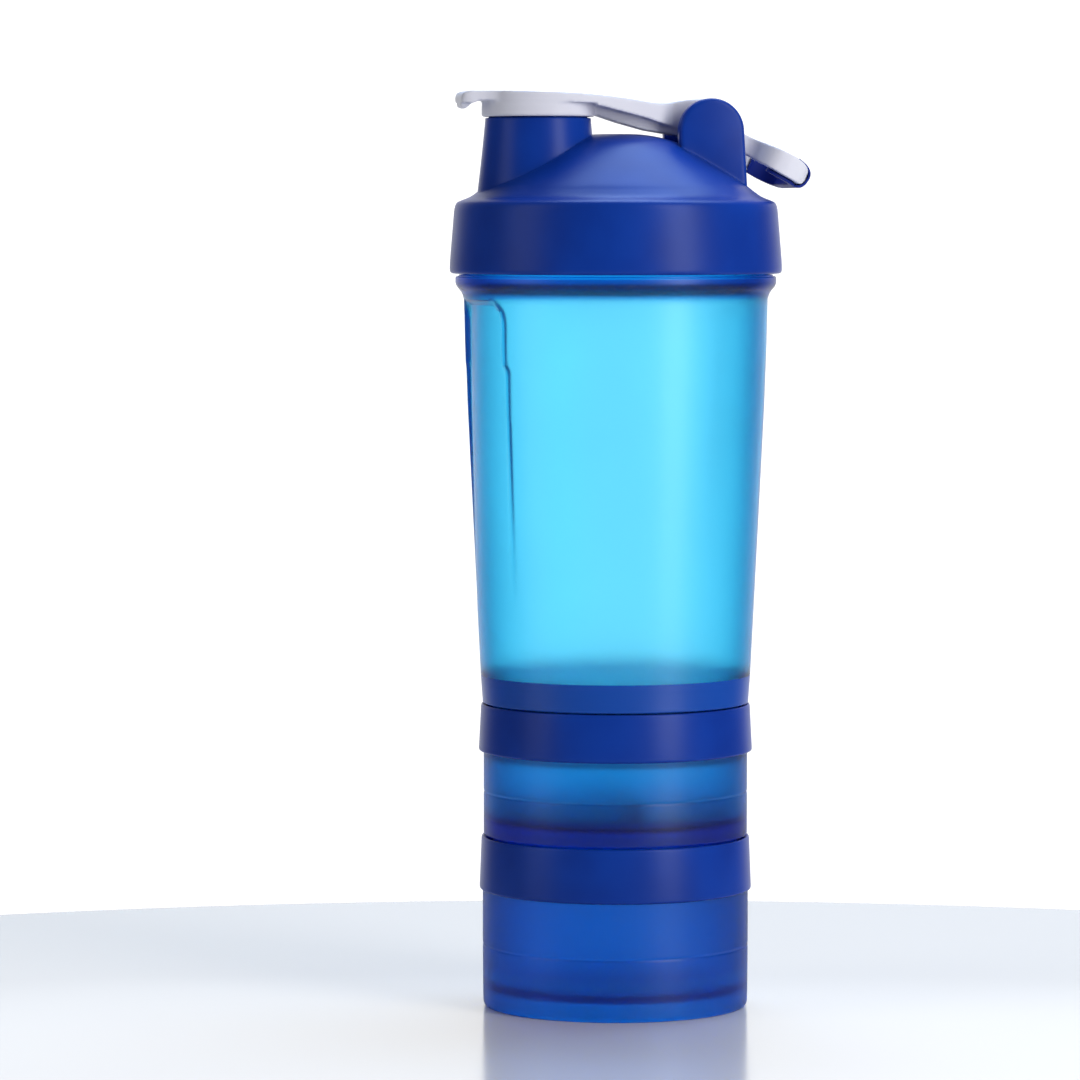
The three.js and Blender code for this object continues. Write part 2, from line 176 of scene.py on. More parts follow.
def flowing(points: Sequence[Point], steps: int = 6) -> list[Point]:
    """A smooth curve through all the points.

    Args:
        points: What the curve passes through.
        steps: Chords between two of them.

    Returns:
        The curve's points, both ends among them.
    """

    def between(a: float, b: float, c: float, d: float, t: float) -> float:
        """A value a share of the way from b to c, with a and d on either side."""
        square, cube = 2 * a - 5 * b + 4 * c - d, 3 * b - 3 * c + d - a
        return 0.5 * (2 * b + (c - a) * t + square * t**2 + cube * t**3)

    padded = [points[0], *points, points[-1]]
    made = [points[0]]
    for near in zip(padded, padded[1:], padded[2:], padded[3:]):
        for i in range(1, steps + 1):
            made.append(tuple(between(*values, i / steps) for values in zip(*near)))
    return made


def mirrored(half: Sequence[Point]) -> list[Point]:
    """A closed outline from its half on one side of the first axis."""
    return [*half, *[(a, -b) for a, b in reversed(half)]]


# ---- bench work ---------------------------------------------------------------------------------
SAME_PLACE = 1e-6


class Across(Enum):
    """The axis that a flat outline is drawn across."""

    Y = "y"
    Z = "z"

    def place(self, point: Point, level: float) -> tuple[float, float, float]:
        """A point of the outline at a level along the axis, in metres."""
        a, b = point[0] * MM, point[1] * MM
        return (a, level * MM, b) if self is Across.Y else (a, b, level * MM)


def only(obj: bpy.types.Object) -> bpy.types.Object:
    """Makes an object the one selected and active."""
    bpy.ops.object.select_all(action="DESELECT")
    obj.select_set(True)
    bpy.context.view_layer.objects.active = obj
    return obj


def begin(name: str, at: Sequence[float]) -> bpy.types.Object:
    """Starts a mesh as one vertex, left selected in edit mode.

    Args:
        name: The object's name.
        at: The vertex's place in metres.

    Returns:
        The object.
    """
    bpy.ops.object.select_all(action="DESELECT")
    bpy.ops.mesh.primitive_plane_add(size=MM, location=at)
    obj = bpy.context.object
    obj.name = obj.data.name = name
    bpy.ops.object.transform_apply(location=True, rotation=True, scale=True)
    bpy.ops.object.mode_set(mode="EDIT")
    bpy.ops.mesh.select_all(action="SELECT")
    bpy.ops.mesh.merge(type="CENTER")
    return obj


def draw(places: Sequence[Sequence[float]]) -> None:
    """Extrudes the selected vertex from the first place through all the others."""
    for last, place in zip(places, places[1:]):
        step = tuple(b - a for a, b in zip(last, place))
        bpy.ops.mesh.extrude_region_move(TRANSFORM_OT_translate={"value": step})


def turned(name: str, profile: Sequence[Point], steps: int = 144, x: float = 0.0) -> bpy.types.Object:
    """Spins a profile about the vertical.

    Args:
        name: The object's name.
        profile: Points as (radius, height) that start and end on the axis or meet.
        steps: Facets round the axis.
        x: Where the axis stands.

    Returns:
        The closed body.
    """
    places = [((x + r) * MM, 0.0, z * MM) for r, z in profile]
    if profile[0][0] > 0 or profile[-1][0] > 0:
        places.append(places[0])
    obj = begin(name, places[0])
    draw(places)
    bpy.ops.mesh.select_all(action="SELECT")
    bpy.ops.mesh.spin(steps=steps, angle=2 * math.pi, center=(x * MM, 0, 0), axis=(0, 0, 1))
    return close(obj)


def close(obj: bpy.types.Object) -> bpy.types.Object:
    """Merges doubles, turns the faces outwards and leaves edit mode."""
    bpy.ops.mesh.select_all(action="SELECT")
    bpy.ops.mesh.remove_doubles(threshold=2 * SAME_PLACE)
    bpy.ops.mesh.normals_make_consistent(inside=False)
    bpy.ops.object.mode_set(mode="OBJECT")
    return obj


def slab(name: str, points: Sequence[Point], across: Across, low: float, high: float) -> bpy.types.Object:
    """Fills a flat outline and extrudes it.

    Args:
        name: The object's name.
        points: The outline, not repeating its first point.
        across: The axis to extrude along.
        low: Where it starts on that axis.
        high: Where it ends.

    Returns:
        The closed body.
    """
    places = [across.place(p, low) for p in [*points, points[0]]]
    obj = begin(name, places[0])
    draw(places)
    bpy.ops.mesh.select_all(action="SELECT")
    bpy.ops.mesh.remove_doubles(threshold=SAME_PLACE)
    bpy.ops.mesh.select_all(action="SELECT")
    bpy.ops.mesh.edge_face_add()
    reach = Vector(across.place((0, 0), high - low))
    bpy.ops.mesh.extrude_region_move(TRANSFORM_OT_translate={"value": reach})
    return close(obj)


def dowel(name: str, radius: float, x: float, z: float, low: float, high: float) -> bpy.types.Object:
    """A round bar along Y."""
    flats = 40
    return slab(name, arc((x, z), radius, 0, 360 - 360 / flats, flats - 1), Across.Y, low, high)


def finish_with(obj: bpy.types.Object, kind: str, **settings: object) -> bpy.types.Object:
    """Adds a modifier, sets it and applies it.

    Args:
        obj: The mesh.
        kind: The modifier's type.
        **settings: Its properties.

    Returns:
        The same object.
    """
    only(obj)
    modifier = obj.modifiers.new(kind.lower(), kind)
    for key, value in settings.items():
        setattr(modifier, key, value)
    bpy.ops.object.modifier_apply(modifier=modifier.name)
    return obj


def bevelled(obj: bpy.types.Object, width: float, segments: int, sharp: float = 1.0) -> bpy.types.Object:
    """Rounds the edges sharper than an angle.

    Args:
        obj: The body.
        width: Size of the rounding in millimetres.
        segments: Faces across it.
        sharp: The angle in radians.

    Returns:
        The same object.
    """
    return finish_with(
        obj, "BEVEL", width=width * MM, segments=segments, limit_method="ANGLE", angle_limit=sharp
    )


class Join(Enum):
    """What a boolean makes of two bodies."""

    ADD = "UNION"
    CUT = "DIFFERENCE"
    KEEP = "INTERSECT"


def combine(obj: bpy.types.Object, tool: bpy.types.Object, how: Join) -> bpy.types.Object:
    """A boolean of two bodies, which uses up the second.

    Args:
        obj: The body that is changed.
        tool: The other one.
        how: What is made of them.

    Returns:
        The changed body.
    """
    finish_with(obj, "BOOLEAN", operation=how.value, object=tool, solver="EXACT")
    bpy.data.objects.remove(tool)
    return obj


def twin(obj: bpy.types.Object, name: str) -> bpy.types.Object:
    """A copy with a mesh of its own."""
    made = obj.copy()
    made.data = obj.data.copy()
    made.name = made.data.name = name
    bpy.context.scene.collection.objects.link(made)
    return made


def settle(obj: bpy.types.Object, turn: Sequence[float] = (0, 0, 0),
           move: Sequence[float] = (0, 0, 0)) -> bpy.types.Object:
    """Turns an object about the origin, moves it, and applies both to its mesh.

    Args:
        obj: The object.
        turn: Degrees about X, Y and Z.
        move: Millimetres along them.

    Returns:
        The same object.
    """
    only(obj)
    obj.rotation_euler = [math.radians(a) for a in turn]
    obj.location = [a * MM for a in move]
    bpy.ops.object.transform_apply(location=True, rotation=True, scale=True)
    return obj


def melt(obj: bpy.types.Object, *others: bpy.types.Object) -> None:
    """Joins closed bodies into the first one's mesh, for a remesh to fuse."""
    only(obj)
    for other in others:
        other.select_set(True)
    bpy.ops.object.join()


def moulded(obj: bpy.types.Object, voxel: float, passes: int) -> bpy.types.Object:
    """Remeshes a body finely and eases its edges, as a mould's polished corners are.

    Args:
        obj: The body.
        voxel: Size of the new faces in millimetres.
        passes: Rounds of smoothing.

    Returns:
        The same object.
    """
    finish_with(obj, "REMESH", mode="VOXEL", voxel_size=voxel * MM)
    return finish_with(obj, "SMOOTH", factor=0.5, iterations=passes)


def shade(obj: bpy.types.Object, sharp: float = 32.0) -> bpy.types.Object:
    """Smooth shading, except over edges sharper than an angle in degrees."""
    only(obj)
    bpy.ops.object.shade_smooth_by_angle(angle=math.radians(sharp))
    return obj


# ---- node work ----------------------------------------------------------------------------------
class Wire:
    """A value inside a material, on which plain arithmetic adds Math nodes."""

    def __init__(self, bench: "NodeBench", socket: bpy.types.NodeSocket) -> None:
        """Wraps an output socket."""
        self.bench = bench
        self.socket = socket

    def _math(self, operation: str, *values: "Wire | float") -> "Wire":
        """One Math node."""
        return self.bench.node("Math", {"operation": operation}, *values)

    def __add__(self, other: "Wire | float") -> "Wire":
        """Sum."""
        return self._math("ADD", self, other)

    __radd__ = __add__

    def __rsub__(self, other: float) -> "Wire":
        """Difference."""
        return self._math("SUBTRACT", other, self)

    def __mul__(self, other: "Wire | float") -> "Wire":
        """Product."""
        return self._math("MULTIPLY", self, other)

    __rmul__ = __mul__

    def step(self, low: float, high: float) -> "Wire":
        """0 below low, 1 above high and smooth between."""
        settings = {"interpolation_type": "SMOOTHSTEP"}
        return self.bench.node("MapRange", settings, self, low, high, 0.0, 1.0)


class NodeBench:
    """Adds nodes to one material, and keeps its Principled shader."""

    def __init__(self, name: str) -> None:
        """Makes the material."""
        self.material = bpy.data.materials.new(name)
        self.material.use_nodes = True
        self.tree = self.material.node_tree
        self.tree.nodes.clear()
        self.output = self.tree.nodes.new("ShaderNodeOutputMaterial")
        self.shader = self.tree.nodes.new("ShaderNodeBsdfPrincipled")
        self.tree.links.new(self.shader.outputs[0], self.output.inputs["Surface"])

    def feed(self, socket: bpy.types.NodeSocket, value: object) -> None:
        """Links a wire to an input, or sets the input's own value."""
        if isinstance(value, Wire):
            self.tree.links.new(value.socket, socket)
        elif value is not None:
            socket.default_value = value

    def node(self, kind: str, settings: dict | None = None, *values: object, out: int | str = 0,
             **named: object) -> Wire:
        """Adds one node.

        Args:
            kind: Its type, without the ShaderNode prefix.
            settings: Its properties, set before its sockets.
            *values: Its first inputs in order, None for one that is left alone.
            out: The output to return.
            **named: Inputs by name, with underscores for spaces.

        Returns:
            The chosen output.
        """
        made = self.tree.nodes.new("ShaderNode" + kind)
        for key, value in (settings or {}).items():
            setattr(made, key, value)
        for socket, value in zip(made.inputs, values):
            self.feed(socket, value)
        for key, value in named.items():
            self.feed(made.inputs[key.replace("_", " ")], value)
        return Wire(self, made.outputs[out])

    def set(self, **named: object) -> None:
        """Feeds the Principled shader's inputs by name."""
        for key, value in named.items():
            self.feed(self.shader.inputs[key.replace("_", " ")], value)

    def place(self) -> Wire:
        """The object's own coordinates, in metres."""
        return self.node("TexCoord", None, out="Object")

    def height(self) -> Wire:
        """Height above the floor in millimetres."""
        return self.node("SeparateXYZ", None, self.place(), out="Z") * (1 / MM)

    def noise(self, size: float, detail: float = 2.0) -> Wire:
        """Noise between 0 and 1 whose blobs are a size in millimetres."""
        return self.node("TexNoise", None, Vector=self.place(), Scale=1 / (size * MM), Detail=detail)

    def mix(self, factor: Wire, first: Colour, second: Colour | Wire) -> Wire:
        """A colour between two. Five sockets for other kinds of value lie before the two colours."""
        ends = [c if isinstance(c, Wire) else (*c, 1.0) for c in (first, second)]
        return self.node("Mix", {"data_type": "RGBA"}, factor, *[None] * 5, *ends, out=2)


def linear(red: int, green: int, blue: int) -> Colour:
    """A screen colour as linear light."""
    parts = (c / 255 for c in (red, green, blue))
    return tuple(c / 12.92 if c <= 0.04045 else ((c + 0.055) / 1.055) ** 2.4 for c in parts)


@dataclass(frozen=True)
class SolidPlastic:
    """Opaque moulded polypropylene: even colour, satin skin with a faint moulded grain."""

    name: str
    colour: Colour
    deep: Colour
    roughness: float = 0.34
    grain: float = 0.35
    easing: float = 0.0
    gloss: float = 0.14

    def make(self) -> bpy.types.Material:
        """Builds the material."""
        bench = NodeBench(self.name)
        cloud = bench.noise(22.0)
        fine = bench.noise(0.55, 3.0)
        colour = bench.mix(cloud.step(0.3, 0.7), self.colour, self.deep)
        rough = self.roughness - 0.04 + cloud * 0.05 + fine * 0.03
        settings = {}
        if self.easing:
            settings["Normal"] = bench.node("Bevel", {"samples": 6}, self.easing * MM)
        bump = bench.node("Bump", None, Height=fine, Strength=self.grain, Distance=0.00004, **settings)
        bench.set(
            Base_Color=colour, Roughness=rough, Normal=bump, IOR=1.49, Specular_IOR_Level=self.gloss
        )
        return bench.material


@dataclass(frozen=True)
class ClearPlastic:
    """Frosted see-through polypropylene, tinted by its depth.

    Each band has a lower and an upper height, the softness of its edges, and the colour painted there
    instead
    of the tint: painted shade on the bottle, where walls overlap and under the cap, and darker and lighter
    tones at given heights on the cups.
    """

    name: str
    tint: Colour
    soak: Colour
    density: float
    bands: tuple[tuple[float, float, float, Colour], ...] = ()
    roughness: float = 0.6
    index: float = 1.18
    polish: float = 0.4
    clear: float = 1.0

    def make(self) -> bpy.types.Material:
        """Builds the material."""
        bench = NodeBench(self.name)
        height = bench.height()
        cloud = bench.noise(30.0)
        fine = bench.noise(0.8, 3.0)
        colour = bench.mix(cloud.step(0.25, 0.75) * 0.35, self.tint, tuple(0.9 * c for c in self.tint))
        for low, high, soft, stain in self.bands:
            here = height.step(low - soft, low + soft) * (1 - height.step(high - soft, high + soft))
            colour = bench.mix(1 - here, stain, colour)
        rough = self.roughness - 0.03 + cloud * 0.06
        bump = bench.node("Bump", None, Height=fine, Strength=0.25, Distance=0.00004)
        bench.set(
            Base_Color=colour, Roughness=rough, Normal=bump, IOR=self.index, Transmission_Weight=self.clear,
            Coat_Weight=self.polish, Coat_Roughness=0.34, Coat_IOR=1.49,
        )
        depth = bench.node("VolumeAbsorption", None, Color=(*self.soak, 1.0), Density=self.density)
        bench.feed(bench.output.inputs["Volume"], depth)
        return bench.material


@dataclass(frozen=True)
class Silicone:
    """Milky soft silicone, matte with a fine tooth."""

    name: str
    colour: Colour
    roughness: float = 0.55

    def make(self) -> bpy.types.Material:
        """Builds the material."""
        bench = NodeBench(self.name)
        cloud = bench.noise(6.0)
        fine = bench.noise(0.3, 3.0)
        colour = bench.mix(cloud, self.colour, tuple(0.93 * c for c in self.colour))
        bump = bench.node("Bump", None, Height=fine, Strength=0.5, Distance=0.00005)
        bench.set(Base_Color=colour, Roughness=self.roughness + fine * 0.1, Normal=bump)
        return bench.material


class Finishes:
    """Every finish of the shaker, each made once."""

    def __init__(self) -> None:
        """Builds them all."""
        cap_blue, cap_deep = linear(12, 54, 146), linear(10, 47, 134)
        self.cap = SolidPlastic("cap_blue", cap_blue, cap_deep, easing=1.2).make()
        # Painted shade: the cups' collars take the cap's opaque blue where the boss screwed into each
        # overlaps its wall.
        self.collar = SolidPlastic("collar_painted_shade", cap_blue, cap_deep).make()
        self.white = SolidPlastic(
            "lever_white", linear(215, 215, 224), linear(208, 208, 219), roughness=0.4
        ).make()
        self.grip = SolidPlastic(
            "grip_blue", linear(20, 42, 132), linear(15, 34, 116), roughness=0.5, grain=0.8
        ).make()
        self.silicone = Silicone("seal_silicone", linear(226, 229, 233)).make()
        # Painted shade on the bottle: a darker blue round the skirt, where the skirt wall, the boss and the
        # floor lie on top of each other, and round the flange and neck, where the cap shades them.
        painted_shade_blue = linear(75, 172, 228)
        skirt = (0.0, AT.upper_seam + 6.5, 0.3, painted_shade_blue)
        neck = (AT.cap_bottom - 4.4, AT.lip + 9, 0.6, painted_shade_blue)
        bottle = ClearPlastic(
            "bottle_clear_blue", (0.92, 0.96, 1.0), (0.0, 0.825, 0.968), 520.0, bands=(skirt, neck),
            roughness=0.36, polish=0.3,
        )
        self.bottle = bottle.make()
        self.bottle_floor = replace(
            bottle, name="bottle_floor_blue", tint=linear(90, 226, 255), bands=(), clear=0.3
        ).make()
        # Painted shade: a darker, less clear blue for the outer skirt, standing for the skirt wall, the
        # boss and the floor stacked behind it.
        self.bottle_skirt = replace(
            bottle, name="bottle_skirt_painted_shade", tint=linear(18, 80, 182), bands=(), clear=0.3
        ).make()
        self.cup = ClearPlastic(
            "cup_clear_blue", linear(80, 205, 240), (0.0, 0.78, 0.92), 560.0,
            bands=(
                (10.0, AT.lower_seam - 14, 3.0, linear(75, 168, 225)),
                (-5.0, 10.0, 3.0, linear(72, 197, 250)),
                (AT.lower_seam - 1.5, AT.lower_seam + 5.3, 0.5, linear(50, 161, 255)),
            ),
        ).make()
        self.tray = ClearPlastic(
            "tray_clear_blue", (0.86, 0.94, 1.0), (0.3, 0.86, 0.97), 240.0, polish=0.1
        ).make()


# ---- threads ------------------------------------------------------------------------------------
@dataclass(frozen=True)
class Thread:
    """A three-start quick thread: trapezoid lugs on a helix."""

    wall: float
    outward: bool
    height: float
    starts: int = 3
    lead: float = 12.0
    arc: float = 70.0
    crest: float = 1.3
    root_width: float = 1.6
    crest_width: float = 1.0
    mesh: float = 1.6

    def add_to(self, obj: bpy.types.Object) -> None:
        """Unites the lugs with the wall they stand on."""
        side = 1 if self.outward else -1
        z = self.height + (0 if self.outward else self.mesh)
        foot, tip = self.wall - side * 0.5, self.wall + side * self.crest
        section = [
            (foot, z - self.root_width / 2), (tip, z - self.crest_width / 2),
            (tip, z + self.crest_width / 2), (foot, z + self.root_width / 2),
        ]
        first = self._lug(section)
        for i in range(self.starts):
            lug = twin(first, f"lug_{i}")
            settle(lug, turn=(0, 0, 360 * i / self.starts))
            combine(obj, lug, Join.ADD)
        bpy.data.objects.remove(first)

    def _lug(self, section: Sequence[Point]) -> bpy.types.Object:
        """One lug, screwed up from its section and closed at both ends."""
        places = [Across.Y.place(p, 0) for p in [*section, section[0]]]
        obj = begin("lug", places[0])
        draw(places)
        bpy.ops.mesh.select_all(action="SELECT")
        bpy.ops.mesh.remove_doubles(threshold=SAME_PLACE)
        bpy.ops.object.mode_set(mode="OBJECT")
        finish_with(
            obj, "SCREW", axis="Z", angle=math.radians(self.arc), steps=20, render_steps=20,
            screw_offset=self.lead * self.arc / 360 * MM, use_merge_vertices=True,
        )
        bpy.ops.object.mode_set(mode="EDIT")
        bpy.ops.mesh.select_all(action="SELECT")
        bpy.ops.mesh.fill_holes(sides=4)
        return close(obj)


@dataclass(frozen=True)
class Boss:
    """The hollow screw boss under a vessel."""

    outer: float = 34.9
    inner: float = 33.1
    depth: float = 10.5
    first_turn: float = 2.2

    def profile(self, seam: float, underside: float) -> list[Corner]:
        """Corners from the shoulder on the seam, down and round the boss, to the vessel's underside."""
        low = seam - self.depth
        return [
            (self.outer, seam + GAP, 0.3), (self.outer, low, 0.5), (self.inner, low, 0.5),
            (self.inner, underside, 1.2), (0.0, underside),
        ]

    def thread(self, seam: float) -> Thread:
        """The lugs round the boss."""
        return Thread(self.outer, True, seam - self.depth + self.first_turn)


@dataclass(frozen=True)
class Socket:
    """The threaded collar round a cup's mouth, with a ledge for the seal."""

    bore: float = 36.6
    ledge: float = 33.8
    cup_bore: float = 35.5
    seal_room: float = 2.1

    def seat(self, seam: float) -> float:
        """Height of the ledge that carries the seal."""
        return seam - Boss.depth - self.seal_room

    def profile(self, seam: float, low: float, top: float, bottom: float) -> list[Corner]:
        """Corners from the cup's inner wall, over the ledge and the rim, to the collar's lower edge."""
        seat = self.seat(seam)
        return [
            (self.cup_bore, seat - 2.8, 0.8), (self.ledge, seat - 1.3, 0.4), (self.ledge, seat, 0.3),
            (self.bore, seat, 0.2), (self.bore, seam - 0.9, 0.6), (self.bore + 0.6, seam, 0.4),
            (top, seam, 0.9), (bottom, low, 0.7),
        ]

    def thread(self, seam: float) -> Thread:
        """The lugs inside the collar."""
        return Thread(self.bore, False, seam - Boss.depth + Boss.first_turn)


# ---- sub-assemblies -----------------------------------------------------------------------------
@dataclass
class Piece:
    """Things every sub-assembly does with its finished bodies."""

    finishes: Finishes

    def hand_over(self, obj: bpy.types.Object, body: str, node: str, slot: str,
                  *materials: bpy.types.Material) -> bpy.types.Object:
        """Dresses a finished body and fixes it to the frame.

        Args:
            obj: The body.
            body: The CAD body it moves with.
            node: The CAD node it stands for.
            slot: The record's material slot; not used.
            *materials: Its materials, the first one for all faces that name no other.

        Returns:
            The same object.
        """
        for material in materials:
            obj.data.materials.append(material)
        settle(obj, move=(AT.axis_x, 0, 0))
        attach(obj, body)
        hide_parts(node)
        LOG.info("%s: %d faces on %s", obj.name, len(obj.data.polygons), body)
        return obj


    def seal(self, node: str, body: str, bore: Point, rise: Point, easing: float) -> None:
        """A silicone ring with a rounded lip.

        Args:
            node: Its CAD node.
            body: The CAD body it moves with.
            bore: Its inner and outer radius.
            rise: Its lower and upper height.
            easing: How much its lower corners are rounded.
        """
        (inner, outer), (low, high) = bore, rise
        ring = turned(node + "_fine", eased([
            (inner, low + 0.7), (inner, low, easing), (outer, low, easing), (outer, high, 0.4),
            (inner, high, 0.4), (inner, low + 0.8),
        ]))
        self.hand_over(shade(ring), body, node, "silicone", self.finishes.silicone)


def paint_faces(obj: bpy.types.Object, index: int, wanted: Callable[[Vector], bool]) -> None:
    """Gives the faces whose centre passes a test another material slot."""
    axis = Vector((AT.axis_x, 0, 0))
    for face in obj.data.polygons:
        if wanted(face.center / MM - axis):
            face.material_index = index


@dataclass
class StorageCup:
    """A twist-on cup: foot or boss below, threaded collar above."""

    node: str
    seam: float
    collar_low: float
    collar_top_radius: float
    collar_low_radius: float
    wall_radius: float
    floor: float
    mark: float = 0.0
    below: list[Corner] = field(default_factory=list)

    def build(self) -> bpy.types.Object:
        """Turns the cup and cuts its socket thread."""
        socket = Socket()
        wall = [(self.wall_radius, self.collar_low, 0.4)]
        if self.mark:
            wall += [
                (self.wall_radius, self.mark + 0.5, 0.3), (self.wall_radius - 0.22, self.mark, 0.3),
                (self.wall_radius, self.mark - 0.5, 0.3),
            ]
        profile = eased([
            (0.0, self.floor), (socket.cup_bore, self.floor, 2.2),
            *socket.profile(self.seam, self.collar_low, self.collar_top_radius, self.collar_low_radius),
            *wall, *self.below,
        ])
        cup = turned(self.node + "_fine", profile)
        socket.thread(self.seam).add_to(cup)
        return cup


@dataclass
class Cups(Piece):
    """Both storage cups, their seals and the pill tray."""

    foot_rise: float = 5.0
    upper_floor: float = 54.0

    def build(self) -> None:
        """Makes and places them."""
        self.lower()
        self.upper()
        self.tray()
        thickness, clearance = 1.5, 0.2
        bore = (Socket.ledge + clearance, Socket.bore - 1.6)
        for name, seam in (("lower_seal", AT.lower_seam), ("upper_seal", AT.upper_seam)):
            low = Socket().seat(seam) + GAP
            self.seal(name + "_ring", name, bore, (low, low + thickness), 0.3)

    def dress(self, cup: bpy.types.Object, body: str, node: str, collar_low: float, seam: float) -> None:
        """Clear wall and floor; the collar painted in the cap's opaque blue, as painted shade where the
        boss screwed into it overlaps its wall.
        """
        self.hand_over(cup, body, node, "cup_plastic", self.finishes.cup, self.finishes.collar)
        # Painted shade: the collar's faces take the opaque collar finish.
        outside, rim = Socket.cup_bore + 1.0, seam - 1.5
        paint_faces(
            cup, 1, lambda c: c.z > collar_low - 0.2 and (math.hypot(c.x, c.y) > outside or c.z > rim)
        )

    def lower(self) -> None:
        """The larger cup, which the stack stands on."""
        rise = self.foot_rise
        cup = StorageCup(
            "lower_cup", AT.lower_seam, 33.4, 38.0, 38.6, 37.7, rise + 1.5, mark=17.5,
            below=[
                (37.6, 4.0), (37.5, 0.0, 1.6), (35.0, 0.0, 0.4), (35.0, rise, 1.2), (0.0, rise),
            ],
        )
        made = shade(cup.build())
        self.dress(made, "lower_cup", "lower_cup", cup.collar_low, cup.seam)

    def upper(self) -> None:
        """The smaller cup, screwed into the lower one."""
        boss = Boss()
        seam = AT.lower_seam
        cup = StorageCup(
            "upper_cup", AT.upper_seam, 72.7, 38.1, 38.8, 37.4, self.upper_floor, mark=61.0,
            below=[(37.4, seam + GAP, 0.8), *boss.profile(seam, self.upper_floor - 1.5)],
        )
        made = cup.build()
        boss.thread(seam).add_to(made)
        self.dress(shade(made), "upper_cup", "upper_cup", cup.collar_low, cup.seam)

    def tray(self) -> None:
        """The round tray with a cross of walls."""
        low, high = (z / MM for z in (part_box("pill_tray")[0].z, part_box("pill_tray")[1].z))
        radius, floor, wall, divider, corner = 33.4, 1.2, 1.3, 0.7, 2.4
        inner = radius - wall
        tray = turned("pill_tray_fine", eased([
            (0.0, low), (radius, low, 1.6), (radius, high, 0.5), (inner - 1, high, 0.2), (0.0, high),
        ]))
        first = math.degrees(math.asin(divider / inner)) + 2
        swing = arc((0, 0), inner, first, 90 - first, 18)
        near, far = divider + corner, inner - 1.5
        outline = [
            (divider, near),
            *bend((divider, near), (divider, divider), (near, divider), 6), (far, divider), *swing,
            (divider, far),
        ]
        pocket = slab("pocket", outline, Across.Z, low + floor, high + 1)
        bevelled(pocket, 1.0, 4, sharp=1.2)
        for i in range(4):
            space = settle(twin(pocket, f"pocket_{i}"), turn=(0, 0, 90 * i))
            combine(tray, space, Join.CUT)
        bpy.data.objects.remove(pocket)
        self.hand_over(shade(tray), "tray", "pill_tray", "cup_plastic", self.finishes.tray)


@dataclass
class GripRecess:
    """The shallow finger panels in the bottle's wall, which fade out downwards."""

    centres: tuple[float, ...] = (190.0, 10.0)
    half_angle: float = 21.0
    top: float = 199.5
    bottom: float = 113.0
    depth: float = 2.0
    corner: float = 5.0
    edge: float = 0.9
    step_height: float = 182.0
    step_out: float = 1.6

    def press(self, obj: bpy.types.Object, reach: float) -> None:
        """Moves the wall inwards within the panels.

        Args:
            obj: The bottle.
            reach: Only points further out than this radius move.
        """
        for vertex in obj.data.vertices:
            x, y, z = vertex.co / MM
            radius = math.hypot(x, y)
            if radius < reach or not self.bottom < z < self.top + 3:
                continue
            angle = math.degrees(math.atan2(y, x)) % 360
            push = max(self.push(angle, centre, radius, z) for centre in self.centres)
            vertex.co.x -= x / radius * push * MM
            vertex.co.y -= y / radius * push * MM

    def push(self, angle: float, centre: float, radius: float, z: float) -> float:
        """How far inwards the wall lies at a place, in millimetres."""
        away = abs((angle - centre + 180) % 360 - 180)
        below = min(max((self.step_height + 1 - z) / 2, 0.0), 1.0)
        half = radius * math.radians(self.half_angle) - 1.0 + self.step_out * smooth(below)
        across = radius * math.radians(away) - half + self.corner
        up = z - self.top + self.corner
        outside = math.hypot(max(across, 0), max(up, 0)) + min(max(across, up), 0) - self.corner
        t = min(max(0.5 - outside / (2 * self.edge), 0.0), 1.0)
        share = (z - self.bottom) / (self.top - self.bottom)
        return self.depth * min(share, 1.0) * smooth(t)


